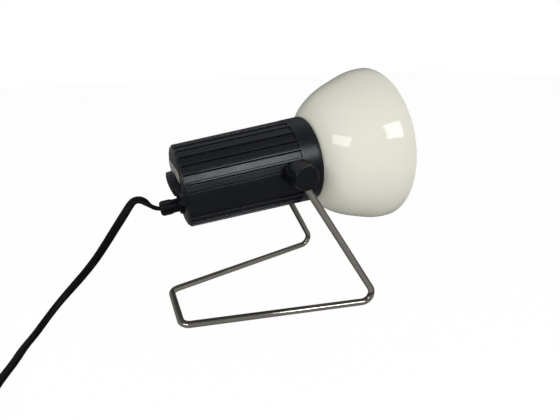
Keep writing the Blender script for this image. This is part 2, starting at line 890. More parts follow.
def shown(name: str, data: bpy.types.ID) -> bpy.types.Object:
    """Puts a mesh, a light or a camera into the scene."""
    thing = bpy.data.objects.new(name, data)
    bpy.context.scene.collection.objects.link(thing)
    return thing


def put(
    name: str,
    surface: Surface,
    finish: Finish,
    body: Body | None,
    nodes: tuple[str, ...] = (),
    crease: float = 40.0,
) -> bpy.types.Object:
    """Makes a piece from its surface, in metres, with its finish.

    Args:
        name: The piece's name.
        surface: Its surface in the row frame, in millimetres.
        finish: What it is finished with.
        body: The body that it rides on, or None where it is blended between two.
        nodes: The frame's nodes that it stands for.
        crease: Faces that meet at more than this angle, in degrees, keep a sharp edge.

    Returns:
        The piece, in place.
    """
    mesh = bpy.data.meshes.new(name)
    mesh.from_pydata((surface.points * MM).tolist(), [], surface.quads.tolist() + surface.caps)
    mesh.polygons.foreach_set("use_smooth", np.ones(len(mesh.polygons), bool))
    mesh.set_sharp_from_angle(angle=math.radians(crease))
    for mark, values in surface.marks.items():
        kind, key = ("FLOAT_VECTOR", "vector") if values.ndim == 2 else ("FLOAT", "value")
        layer = mesh.attributes.new(mark, kind, "POINT")
        layer.data.foreach_set(key, values.astype(np.float32).ravel())
    mesh.validate()
    mesh.materials.append(finish.material())
    piece = shown(name, mesh)
    if nodes:
        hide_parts(*nodes)
    if body is not None:
        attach(piece, body.value)
    log.info("%s: %d points, %d faces", name, len(mesh.vertices), len(mesh.polygons))
    return piece


def dress(finish: Finish, *nodes: str) -> None:
    """Gives nodes of the frame, whose shape is right, their finish.

    Args:
        finish: What they are finished with.
        nodes: Their names.
    """
    for node in nodes:
        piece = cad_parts[node]
        if not piece.material_slots:
            piece.data.materials.append(finish.material())
        for slot in piece.material_slots:
            slot.material = finish.material()
        log.info("%s: finished as %s", node, finish.name)


@dataclass
class Screw:
    """A pan-head screw with a slot.

    Attributes:
        radius: The head's radius.
        height: The head's height.
        dome: How much lower the head is at its edge.
        shank: The shank's radius.
        slot_half: Half of the slot's width.
        slot_depth: The slot's depth.
        chamfer: Width of the slot's edges.
    """

    radius: float = 2.6
    height: float = 1.7
    dome: float = 0.45
    shank: float = 1.45
    slot_half: float = 0.4
    slot_depth: float = 0.9
    chamfer: float = 0.06

    def surface(self, place: Place, length: float) -> Surface:
        """The screw, its head's underside at the place's origin and its head along its axis.

        The head is cut into strips across its slot. A strip at a distance x from the middle
        reaches to the root of the radius squared less x squared, and is lower by the slot's
        depth between the slot's two walls. The top falls off as the radius to the fourth.

        Args:
            place: Where the screw is. Its first direction points out of the head.
            length: The shank's length.

        Returns:
            The head and the shank.
        """
        half = self.slot_half
        sides = self.radius * np.sin(np.linspace(-0.5, 0.5, 25) * np.pi)
        sides = sides[np.abs(sides) > half + 0.05]
        left, right = sides[sides < 0], sides[sides > 0]
        wall = np.array([half, half, half + self.chamfer])
        x = np.concatenate([left, -wall[::-1], wall, right])
        cut = np.concatenate([0 * left, [0, 0.06, 1, 1, 0.06, 0], 0 * right]) * self.slot_depth
        reach = np.sqrt(np.maximum(self.radius**2 - x**2, 1e-4))
        y = reach[:, None] * np.sin(np.linspace(-0.5, 0.5, 15) * np.pi)
        shape = (x[:, None] ** 2 + y**2) / self.radius**2
        upper = stacked(self.height - self.dome * shape**2 - cut[:, None], x[:, None], y)
        lower = upper * [0, 1, 1]
        head = skin(place.at(np.concatenate([upper, lower[:, ::-1]], 1)))
        tip, thick = -length, self.shank
        edge = [(0.2, 0, 0), (0.2, thick, 0), (tip + 0.8, thick, 0.3), (tip, thick - 0.8, 0.2), (tip, 0, 0)]
        return joined(head, lathe(rounded(edge, 3, False), place, 32))


@dataclass
class Barrel:
    """The ribbed barrel with its flutes, pads, bosses and posts.

    Attributes:
        front_radius: Radius at the front edge.
        rear_radius: Radius at the rear edge.
        front: The front edge, along the axis.
        rear: The rear edge.
        front_edge: Radius of the front edge's rounding.
        rounding: Length at the rear that the ribs' taper leaves out.
        rib_end: Where the ribs begin to round off.
        rib_arc: Radius of that rounding.
        rim_arc: Radius of the floors' rounding at the rear edge.
        middle_radius: Radius at which the flutes are evenly spaced.
        places: Flute places round the barrel, the plain side panels' included.
        upper: Flutes round the top.
        lower: Flutes round the bottom.
        flute_half: Half of a flute's width.
        flute_depth: A flute's depth.
        flute_front: The flutes' front ends.
        flute_wall: Rows of the flutes' front wall: distance ahead of it, how far the flute is
            cut there as a share, and how much its upper edge is rubbed.
        grooves: Width and depth of the fine grooves at the foot of its upper and lower wall.
        fine_top: Angle from the top within which both of a flute's grooves are narrow.
        rubbed: How much the ribs' tops are rubbed.
        seat: Radius of the shade's seat inside the front edge.
        ledge: The inner ledge's rear and front, along the axis, and its bore.
        wall: The shell's thickness behind the ledge.
        pad: A knob's pad: its foot and top from the middle, outer radius, bore and rounding.
        boss: The boss under a pad, in the same way.
    """

    front_radius: float = 37.5
    rear_radius: float = 33.9
    front: float = 24.7
    rear: float = -88.0
    front_edge: float = 0.5
    rounding: float = 2.9
    rib_end: float = -85.3
    rib_arc: float = 1.4
    rim_arc: float = 1.5
    middle_radius: float = 36.7
    places: int = 28
    upper: int = 13
    lower: int = 11
    flute_half: float = 3.15
    flute_depth: float = 1.3
    flute_front: float = 7.5
    flute_wall: tuple[tuple[float, float, float], ...] = (
        (0.28, 0.0, 1.0),
        (0.12, 0.0, 1.0),
        (0.035, 0.03, 0.8),
        (0.0, 0.1, 0.2),
        (0.0, 0.2, 0.0),
        (0.0, 0.82, 0.0),
        (0.0, 0.9, 0.0),
        (-0.035, 0.97, 0.0),
        (-0.12, 1.0, 0.0),
        (-0.3, 1.0, 0.0),
    )
    grooves: tuple[tuple[float, float], tuple[float, float]] = ((1.05, 0.5), (0.55, 0.28))
    fine_top: float = 0.3
    rubbed: float = 0.17
    seat: float = 34.45
    ledge: tuple[float, float, float] = (12.2, 15.2, 25.5)
    wall: float = 3.0
    pad: tuple[float, ...] = (33.0, 36.9, 8.8, 4.55, 0.35)
    boss: tuple[float, ...] = (27.9, 34.0, 7.0, 4.55, 0.3)

    def radius(self, s: Array) -> Array:
        """The ribs' radius, which falls evenly towards the rear."""
        slope = (self.front_radius - self.rear_radius) / (self.front - self.rear - self.rounding)
        return self.front_radius - (self.front - s) * slope

    def corner(self, wide: float, sunk: float) -> tuple[Array, Array]:
        """One side of a flute: its floor, the fine groove at its wall's foot, the wall and its top.

        Args:
            wide: The groove's width.
            sunk: The groove's depth below the flute's floor.

        Returns:
            The distances from the flute's middle, and the depths as shares of the flute's.
        """
        groove = np.array([(-1.15, 0), (-1.0, 0), (-0.9, 0.12), (-0.45, 0.9), (-0.36, 1.0), (-0.28, 0.85)])
        wall = np.array([(0.02, 0.3), (0.06, 0.14), (0.12, 0.04), (0.25, 0.0)])
        side = np.concatenate([groove[:, 0] * wide, wall[:, 0]])
        down = np.concatenate([self.flute_depth + sunk * groove[:, 1], wall[:, 1]])
        return self.flute_half + side, down / self.flute_depth

    def columns(self) -> tuple[Array, Array, Array, Array]:
        """The points round the barrel: each flute place has the same twenty-two.

        A flute's corner towards the barrel's top has the wide groove, the other the narrow one.
        The flutes at the very top have the narrow one on both sides.

        Returns:
            Each column's place angle, its distance to the side of that angle, how far into the
            flute it lies from 0 to 1, and how much its edge is rubbed.
        """
        half_pitch = math.pi * self.middle_radius / self.places
        angle = full_turn(self.places)
        step = angle[1]
        turned = (angle + math.pi) % (2 * math.pi) - math.pi
        (wide, wide_deep), (narrow, narrow_deep) = (self.corner(*groove) for groove in self.grooves)
        worn = np.where(narrow_deep < 0.04, self.rubbed, 0.0)
        near, far = (turned > self.fine_top)[:, None], (turned < -self.fine_top)[:, None]
        left, left_deep = np.where(near, wide, narrow), np.where(near, wide_deep, narrow_deep)
        right, right_deep = np.where(far, wide, narrow), np.where(far, wide_deep, narrow_deep)
        middle = np.zeros((self.places, 1))
        x = np.concatenate([-left[:, ::-1], middle, right, middle + half_pitch], 1)
        depth = np.concatenate([left_deep[:, ::-1], middle + 1, right_deep, middle], 1)
        rub = np.concatenate([worn[::-1], [0.0], worn, [self.rubbed]])
        on_top = np.abs(turned) < self.upper / 2 * step
        below = math.pi - np.abs(turned) < self.lower / 2 * step
        cut = (on_top | below)[:, None]
        return np.repeat(angle, len(rub)), x.ravel(), (cut * depth).ravel(), (cut * rub).ravel()

    def shell(self) -> Surface:
        """The shell: a closed outline carried round, with the flutes cut in its outer face.

        At a distance x to the side of its flute's middle, a point on the ribs is as high as the
        root of the radius squared less x squared, and a point on a flute's floor is as high as
        the radius less the flute's depth. The columns and the end wall go smoothly from the
        first to the second. At the rear the ribs end in an arc of their own height, and the
        floors run on and round off to the rim.

        Returns:
            The closed shell.
        """
        angle, x, depth, rub = self.columns()
        quarter = np.linspace(0, np.pi / 2, 7)
        ahead, cut, worn = np.array(self.flute_wall).T
        smooth = [self.front - self.front_edge, 21.0, 15.0, 10.0]
        s_outer = np.concatenate(
            [
                smooth,
                self.flute_front + ahead,
                np.linspace(self.flute_front - 3, self.rib_end, 9),
                self.rib_end - self.rib_arc * np.sin(quarter[1:]),
                self.rear + self.rim_arc * (1 - np.sin(quarter[1:])),
            ]
        )
        uncut, behind = np.zeros(len(smooth)), len(s_outer) - len(smooth) - len(cut)
        cut = np.concatenate([uncut, cut, np.ones(behind)])[:, None]
        worn = self.rubbed * np.concatenate([uncut, worn, np.zeros(behind)])[:, None]
        plain = self.radius(s_outer)
        rib_in = np.maximum(self.rib_end - s_outer, 0)
        rim_in = np.maximum(self.rear + self.rim_arc - s_outer, 0)
        floor = plain - self.flute_depth - self.rim_arc + np.sqrt(np.maximum(self.rim_arc**2 - rim_in**2, 0))
        ribs = plain - self.rib_arc + np.sqrt(np.maximum(self.rib_arc**2 - rib_in**2, 0))
        ribs = np.where(rib_in > self.rib_arc, 0, ribs)
        ribs, floor = np.maximum(ribs, floor)[:, None], floor[:, None]
        share = depth * cut
        height = np.sqrt(ribs**2 - x**2) * (1 - share) + floor * share
        across = -(height * np.sin(angle) + x * np.cos(angle))
        outer = stacked(s_outer[:, None], across, height * np.cos(angle) - x * np.sin(angle))
        ledge_back, ledge_front, bore = self.ledge
        inner_rear, inner_ledge = self.rear_radius - self.wall, float(self.radius(ledge_back)) - self.wall
        tail = [
            (self.rear, inner_rear + 0.08, 0),
            (self.rear + 0.15, inner_rear, 0),
            (ledge_back, inner_ledge, 0.8),
            (ledge_back, bore, 0.3),
            (ledge_front, bore, 0.3),
            (ledge_front, self.seat, 0.3),
            (self.front - 0.2, self.seat, 0),
        ]
        turn = quarter[:-1:2]
        edge = (self.front, self.front_radius) - self.front_edge * (1 - stacked(np.cos(turn), np.sin(turn)))
        lead = np.concatenate([[(self.front - 0.2, self.seat), (self.front, self.seat + 0.2)], edge])
        spin = angle + np.arcsin(x / self.middle_radius)
        head, foot = (
            stacked(rows[:, :1], -rows[:, 1:] * np.sin(spin), rows[:, 1:] * np.cos(spin))
            for rows in (lead, rounded(tail, 3, False)[:-1])
        )
        grid = np.concatenate([head, outer, foot])
        marks = np.zeros(grid.shape[:2])
        marks[len(head) : -len(foot)] = np.maximum(rub * (cut > 0.5), worn * (depth > 0.5))
        return skin(HEAD.at(grid), wrap_rows=True, marks={"rub": marks})

    def ring(self, side: int, foot: float, top: float, outer: float, bore: float, edge: float) -> Surface:
        """A ring on the knobs' axis with rounded outer edges."""
        outline = rounded([(foot, bore, 0), (foot, outer, edge), (top, outer, edge), (top, bore, 0.1)], 4)
        return lathe(outline, knob_place(side), 72, wrap=True)

    def build(self) -> None:
        """Makes the barrel and dresses its inserts and washers."""
        post = rounded([(-85.0, 1.5, 0), (-85.0, 5.0, 0.2), (-67.5, 5.0, 0.4), (-67.5, 1.5, 0.2)], 3)
        aside, below = CAP_SCREWS
        parts = [self.shell()]
        for side in (-1, 1):
            parts += [self.ring(side, *self.pad), self.ring(side, *self.boss)]
            parts.append(lathe(post, HEAD.moved(0, side * aside, -below), 40, wrap=True))
        put("barrel_shell", joined(*parts), BLACK_HOUSING, Body.HEAD, ("housing",), 32)
        dress(BRASS, "thread_insert_near", "thread_insert_far")
        dress(FIBRE, "friction_washer_near", "friction_washer_far")


@dataclass
class RearEnd:
    """The rear cap with its screw blocks, hanging hook, label and screws.

    Attributes:
        face: The cap's outer face, along the axis.
        inner: Its inner face.
        radius: Its radius.
        block: Half width, half height and rise of a screw block.
        sink: Depth of a screw's seat in its block.
        hook_half: Half of the hanging fin's thickness.
    """

    face: float = -88.6
    inner: float = -85.0
    radius: float = 30.45
    block: tuple[float, float, float] = (5.25, 4.25, 2.8)
    sink: float = 2.1
    hook_half: float = 2.5

    def plate(self) -> Surface:
        """The round plate, with a rounded outer edge."""
        inner, face, radius = self.inner, self.face, self.radius
        edge = rounded([(inner, 0, 0), (inner, radius, 0.2), (face, radius, 1.0), (face, 0, 0)], 5, False)
        return lathe(edge, HEAD, 128)

    def screw_block(self, side: int) -> Surface:
        """A screw block: rows go up its side, over its top and down the screw's sink.

        Its outline's radius at an angle is that of a rectangle with round corners: one over the
        eighth root of the eighth powers of the cosine over its half width and of the sine over
        its half height, added up. What stands past the plate's rim is drawn in to it.

        Args:
            side: -1 for the near block, 1 for the far one.

        Returns:
            The closed block.
        """
        wide, tall, rise = self.block
        turn = full_turn(64)
        reach = (np.abs(np.cos(turn) / wide) ** 8 + np.abs(np.sin(turn) / tall) ** 8) ** (-1 / 8)
        outer = reach - np.array([0.0, 0.0, 0.1, 0.35])[:, None]
        sunk = np.array([3.1, 2.9, 2.9])[:, None] + 0 * turn
        radii = np.concatenate([outer, sunk])
        top = self.face - rise
        level = np.array([self.inner - 1.0, top + 0.35, top + 0.1, top, top, top + 0.2, top + self.sink])
        aside, below = CAP_SCREWS
        y = side * aside + radii * np.cos(turn)
        z = -below + radii * np.sin(turn)
        far = np.maximum(np.hypot(y, z) / (self.radius - 0.15), 1.0)
        return skin(HEAD.at(stacked(level[:, None], y / far, z / far)))

    def hook(self) -> Surface:
        """The hanging hook: a fin whose back edge bows out by a parabola, rounded all round.

        Returns:
            The closed fin, rubbed all over.
        """
        face = self.face
        bow = np.linspace(0, 1, 9)[1:-1, None]
        low, high = np.array([face - 4.4, -6.75]), np.array([face - 7.6, 10.6])
        curve = high + (low - high) * bow + np.array([-1.0, 0.12]) * (4 * bow * (1 - bow)) * 1.05
        corners = [(face + 1.0, -6.7, 0), (face + 1.0, 7.4, 0), (face, 7.6, 0.4)]
        corners += [(face - 1.9, 14.0, 0.8), (face - 7.0, 13.5, 1.0), (*high, 0.8)]
        corners += [(*point, 0) for point in curve] + [(*low, 0.6)]
        sideways = Place(HEAD.origin, (0, 1, 0), HEAD.along, HEAD.up)
        fin = slab(rounded(corners, 5), -self.hook_half, self.hook_half, 1.3, sideways)
        return replace(fin, marks={"rub": np.ones(len(fin.points))})

    def saddle(self) -> Surface:
        """The cord's saddle on the plate's inner side."""
        outline = rounded([(-9, -22, 0.5), (9, -22, 0.5), (9, -17.3, 0.5), (-9, -17.3, 0.5)], 3)
        return slab(outline, self.inner - 0.5, self.inner + 6.0, 0.3, HEAD)

    def label(self) -> Surface:
        """The bare label, a thin sheet with round corners."""
        corners = [(-20, 8.8, 1.2), (28.2, 8.8, 0.8), (26.3, 13.7, 0), (23.7, 17.8, 0.8), (-20, 17.8, 1.2)]
        return slab(rounded(corners, 5), self.face - 0.3, self.face - 0.02, 0.08, HEAD)

    def build(self) -> None:
        """Makes the cap, its label and its screws."""
        parts = [self.plate(), self.screw_block(-1), self.screw_block(1), self.hook(), self.saddle()]
        put("rear_cover", joined(*parts), BLACK_HOUSING, Body.HEAD, ("rear_cap",), 35)
        put("bare_label", self.label(), LABEL, Body.HEAD, ("rating_label",), 30)
        back = Place(HEAD.origin, tuple(-np.array(HEAD.along)), HEAD.across, HEAD.up)
        behind, (aside, below) = self.block[2] - self.face - self.sink, CAP_SCREWS
        seats = [back.moved(behind, side * aside, -below) for side in (-1, 1)]
        screws = joined(*(Screw().surface(seat, 12.0) for seat in seats))
        put("cover_screws", screws, SCREW, Body.HEAD, ("cap_screws",), 30)


@dataclass
class Gland:
    """The cord gland with its ribbed nut, and what holds the cord's inner end.

    Attributes:
        drop: The gland's distance below the lamp's axis.
        nut_radius: The nut's radius.
        ribs: Grooves round the nut.
        groove: Radius of the circle that cuts a groove.
        groove_out: How far that circle's middle stands outside the nut.
    """

    drop: float = 15.0
    nut_radius: float = 6.2
    ribs: int = 10
    groove: float = 1.15
    groove_out: float = 0.5

    def body(self) -> Surface:
        """The gland's flange and neck."""
        corners = [(-84.8, 3.6, 0), (-84.8, 5.0, 0.2), (-88.7, 5.0, 0), (-88.7, 8.2, 0.2), (-91.3, 7.7, 0.6)]
        corners += [(-91.5, 5.6, 0.2), (-97.0, 5.6, 0), (-97.0, 3.6, 0)]
        return lathe(rounded(corners, 4), HEAD.moved(0, 0, -self.drop), 64, wrap=True)

    def nut(self) -> Surface:
        """The nut, its grooves parts of circles whose middles stand outside it.

        A groove's circle of radius g with its middle at a distance c is reached, at an angle a
        from its own, at c times the cosine of a less the root of g squared less c times the
        sine of a squared.

        Returns:
            The nut's closed surface.
        """
        r = self.nut_radius
        corners = [(-96.5, 4.8, 0), (-96.5, r - 0.7, 0.3), (-97.3, r, 0.5), (-104.4, r, 0.9)]
        corners += [(-106.2, r - 1.3, 0.5), (-106.2, 4.5, 0.35), (-104.3, 3.95, 0.8), (-101.6, 3.7, 0)]
        outline = rounded([*corners, (-96.5, 3.7, 0)], 5)
        steps = self.ribs * 14
        step = 2 * np.pi / self.ribs
        off = (full_turn(steps) + step / 2) % step - step / 2
        middle = r + self.groove_out
        root = np.maximum(self.groove**2 - (middle * np.sin(off)) ** 2, 0)
        reach = np.where(root > 0, middle * np.cos(off) - np.sqrt(root), np.inf)
        along, radius = outline[:, :1], outline[:, 1:]
        is_outer = (radius > 4.65) & (along < -96.8)
        ripple = np.where(is_outer, np.minimum(reach, radius) - radius, 0.0)
        return lathe(outline, HEAD.moved(0, 0, -self.drop), steps, wrap=True, ripple=ripple)

    def inner_cord(self) -> Surface:
        """The flat cord between the gland's mouth and its clamp."""
        cord = FlatCord()
        path = HEAD.at(stacked(np.linspace(-102.8, -78.5, 12), 0.0, -self.drop))
        return swept(path, np.array(cord.tilt_at_gland), cord.section())

    def leads(self) -> Surface:
        """The two conductors, each an S-bend whose offset follows a smooth step.

        Returns:
            Both of them.
        """
        t = np.linspace(0, 1, 40)
        bend = ease((t - 0.15) / 0.7)
        parts = []
        for side in (-1, 1):
            path = HEAD.at(stacked(-79.0 + 7.5 * t, side * (1.3 + 5.7 * bend), -self.drop - 0.5 * bend))
            parts.append(swept(path, np.array([0, 0, 1.0]), ring_section(1.0)))
        return joined(*parts)

    def build(self) -> None:
        """Makes the gland, the nut, the cord's inner end and the leads, and dresses the clamp."""
        put("gland_body", self.body(), NYLON_BLACK, Body.HEAD, ("cord_gland",), 35)
        put("gland_ribbed_nut", self.nut(), NYLON_BLACK, Body.HEAD, ("gland_nut",), 35)
        put("cord_inside", self.inner_cord(), CORD, Body.HEAD, ("cord_inner_end",), 50)
        put("conductors", self.leads(), LEAD, Body.HEAD, ("internal_leads",), 50)
        dress(BLACK_SMOOTH, "cord_clamp")
        dress(SCREW, "clamp_screws")


@dataclass
class Shade:
    """The bell shade: a neck that stands in the barrel and a bowl that opens in tangent arcs.

    Attributes:
        wall: Its thickness.
        neck: The neck's radius.
        bend: Radius of the bend from the neck to the bowl.
        slope: The bowl's heading at its start, in degrees from the axis.
        bowl: Points that the bowl goes through: distance along the axis and radius.
    """

    wall: float = 1.6
    neck: float = 34.3
    bend: float = 2.0
    slope: float = 62.0
    bowl: tuple[tuple[float, float], ...] = (
        (27.5, 37.0),
        (36.5, 48.3),
        (58.0, 61.1),
        (74.0, 66.8),
        (91.0, 69.3),
    )

    def outline(self) -> Array:
        """The wall's outline, from the flange on the barrel's ledge to the rim and back.

        Returns:
            Its points: distance along the axis and radius.
        """
        slope = math.radians(self.slope)
        corner = self.bowl[0][0] - (self.bowl[0][1] - self.neck) / math.tan(slope)
        start = corner - self.bend * math.tan(slope / 2)
        turn = np.linspace(0, slope, 7)
        bend = np.stack([start + self.bend * np.sin(turn), self.neck + self.bend * (1 - np.cos(turn))], -1)
        outer = np.concatenate([[(17.0, self.neck)], bend, tangent_arcs(list(self.bowl), self.slope, 16)])
        wall = wall_of(outer, self.wall, 9)
        flange = [(17.0, 32.7, 0), (16.8, 32.7, 0.3), (16.8, 25.6, 0.3)]
        flange += [(15.2, 25.6, 0.3), (15.2, self.neck, 0.6), (17.0, self.neck, 0)]
        return np.concatenate([wall[:-1], rounded(flange, 3, False)[:-1]])

    def build(self) -> None:
        """Makes the shade and its screws."""
        put("bell_shade", lathe(self.outline(), HEAD, 256, wrap=True), IVORY, Body.HEAD, ("shade",), 50)
        seats = [HEAD.moved(16.8, -29 * math.sin(turn), 29 * math.cos(turn)) for turn in full_turn(3)]
        screws = joined(*(Screw().surface(seat, 6.1) for seat in seats))
        put("shade_fixings", screws, SCREW, Body.HEAD, ("shade_screws",), 30)


@dataclass
class Bulb:
    """The reflector bulb with its threaded cap, in the porcelain holder.

    Attributes:
        front: The glass's front, along the axis.
        cap_back: The threaded cap's rear end.
        cap_front: Its front end.
        radius: The glass's widest radius.
        neck: Its neck's radius.
        throat: Its radius inside the cap.
        glass: Its thickness.
        edge: How far its front edge is ahead of its widest place, and within it.
        pitch: Pitch of the cap's thread.
    """

    front: float = 78.0
    cap_back: float = -55.5
    cap_front: float = -31.5
    radius: float = 47.5
    neck: float = 17.5
    throat: float = 12.25
    glass: float = 1.2
    edge: tuple[float, float] = (8.0, 4.5)
    pitch: float = 3.63

    def outline(self) -> Array:
        """The glass wall: throat, blown reflector, edge and the domed front's two faces.

        Returns:
            Its points: distance along the axis and radius.
        """
        cap, neck, rim = self.cap_front, self.neck, self.radius - self.edge[1]
        widest = self.front - 14.0
        points = [(cap + 8, neck), (cap + 32, neck + 2), (cap + 50, neck + 8.5)]
        points += [(widest - 18, self.radius - 5.5), (widest, self.radius)]
        blown = tangent_arcs(points, 2.0, 14)
        way = blown[-1] - blown[-2]
        slope = math.degrees(math.atan2(way[1], way[0]))
        edge = tangent_arcs([points[-1], (widest + self.edge[0], rim)], slope, 12)[1:]
        sag = self.front - widest - self.edge[0]
        dome = (rim**2 + sag**2) / (2 * sag)
        turn = np.linspace(math.asin(rim / dome), 0, 24)[1:]
        face = np.stack([self.front - dome * (1 - np.cos(turn)), dome * np.sin(turn)], -1)
        throat = [(cap - 4, self.throat, 0), (cap + 1, self.throat, 2.0), (cap + 8, neck, 0)]
        outer = np.concatenate([rounded(throat, 6, False)[:-1], blown, edge, face])
        inner = outer + rightwards(ways(outer)) * self.glass
        inner[-1] = (self.front - self.glass, 0.0)
        inner[:, 1] = np.maximum(inner[:, 1], AXIS_RING)
        return np.concatenate([outer, inner[::-1]])

    def thread(self, first: float, last: float, low: float, high: float, wall: float = 0.35) -> Surface:
        """A rolled screw shell: its radius waves once a turn and once a pitch along its axis.

        Args:
            first: Where the shell begins, along the axis.
            last: Where it ends.
            low: The thread's least outer radius.
            high: Its greatest.
            wall: The metal's thickness.

        Returns:
            The closed shell.
        """
        steps = 72
        s = np.linspace(first, last, steps)
        fade = np.clip(np.minimum(s - first, last - s) / 2.0, 0, 1)[:, None]
        wave = 0.5 + 0.5 * np.cos(2 * np.pi * s[:, None] / self.pitch + full_turn(steps))
        outer = low + (high - low) * wave * fade
        axis = stacked(s, 0.0)
        ripple = np.concatenate([outer, (outer - wall)[::-1]]) - AXIS_RING
        return lathe(np.concatenate([axis, axis[::-1]]), HEAD, steps, wrap=True, ripple=ripple)

    def filament(self) -> Surface:
        """Two supports and a fine coil hung between them, a helix of even pitch.

        Returns:
            All three.
        """
        reach = self.cap_front + 52
        turns, span = 30, 20.0
        t = np.linspace(0, 1, turns * 12 + 1)
        spin, y = 2 * np.pi * turns * t, span * (t - 0.5)
        helix = HEAD.at(stacked(reach + 0.75 * np.cos(spin), y, 0.75 * np.sin(spin)))
        parts = [swept(helix, helix - HEAD.at(stacked(reach, y, 0.0)), ring_section(0.22, 6))]
        for side in (-1, 1):
            legs = [(reach - 30, side * 2.5, 0), (reach - 26, side * 2.5, 6.0), (reach + 0.6, side * 10.2, 0)]
            s, y = rounded(legs, 8, False).T
            parts.append(swept(HEAD.at(stacked(s, y, 0.0)), np.array(HEAD.up), ring_section(0.45, 10)))
        return joined(*parts)

    def build(self) -> None:
        """Makes the glass, the cap and the filament, and dresses the holder's pieces."""
        put("reflector_glass", lathe(self.outline(), HEAD, 160), RUBY, Body.HEAD, ("bulb_glass",), 50)
        cap = self.thread(self.cap_back, self.cap_front, 12.45, 13.15)
        put("threaded_cap", cap, ALUMINIUM, Body.HEAD, ("bulb_cap",), 60)
        socket = self.thread(-71.8, -48.2, 13.5, 13.85)
        put("threaded_socket", socket, BRASS, Body.HEAD, ("holder_shell",), 60)
        put("coiled_filament", self.filament(), TUNGSTEN, Body.HEAD, ("bulb_filament",), 60)
        dress(STEM_GLASS, "bulb_stem")
        dress(BLACK_GLASS, "bulb_insulator")
        dress(BRASS, "bulb_contact", "holder_contact", "holder_terminals")
        dress(PORCELAIN, "lamp_holder")
        dress(PLATE, "holder_plate")
        dress(SCREW, "plate_screws", "holder_screws")


@dataclass
class Knob:
    """A plain tapered clamp knob on its stud and washer.

    Attributes:
        side: -1 for the near knob, 1 for the far one.
        foot: Its foot's distance from the lamp's middle plane.
        length: Its length.
        base: Its radius at the foot.
        end: Its radius at the end.
        edge: Radius of its end's rounded edge.
        bore: Radius of the stud's hole.
    """

    side: int
    foot: float = 42.6
    length: float = 13.8
    base: float = 12.0
    end: float = 9.8
    edge: float = 0.75
    bore: float = 2.6

    def surface(self) -> Surface:
        """The knob: a slightly hollow end, a rounded edge and a taper to its foot.

        Returns:
            The closed knob.
        """
        foot, top, hole = self.foot, self.foot + self.length, self.foot + 9.0
        outline = [(hole, 0, 0), (hole, self.bore, 0.2), (foot, self.bore, 0.3), (foot, self.base, 0.5)]
        outline += [(top, self.end + 0.1, self.edge), (top - 0.02, self.end - 2.2, 0)]
        outline += [(top - 0.12, self.end - 5, 0), (top - 0.15, 0, 0)]
        return lathe(rounded(outline, 7, False), knob_place(self.side), 128)

    def build(self) -> None:
        """Makes the knob and dresses its stud and washer."""
        word, body = ("near", Body.NEAR_KNOB) if self.side < 0 else ("far", Body.FAR_KNOB)
        put(f"clamp_knob_{word}", self.surface(), BLACK_SMOOTH, body, (f"knob_{word}",), 45)
        dress(SCREW, f"knob_stud_{word}", f"knob_washer_{word}")


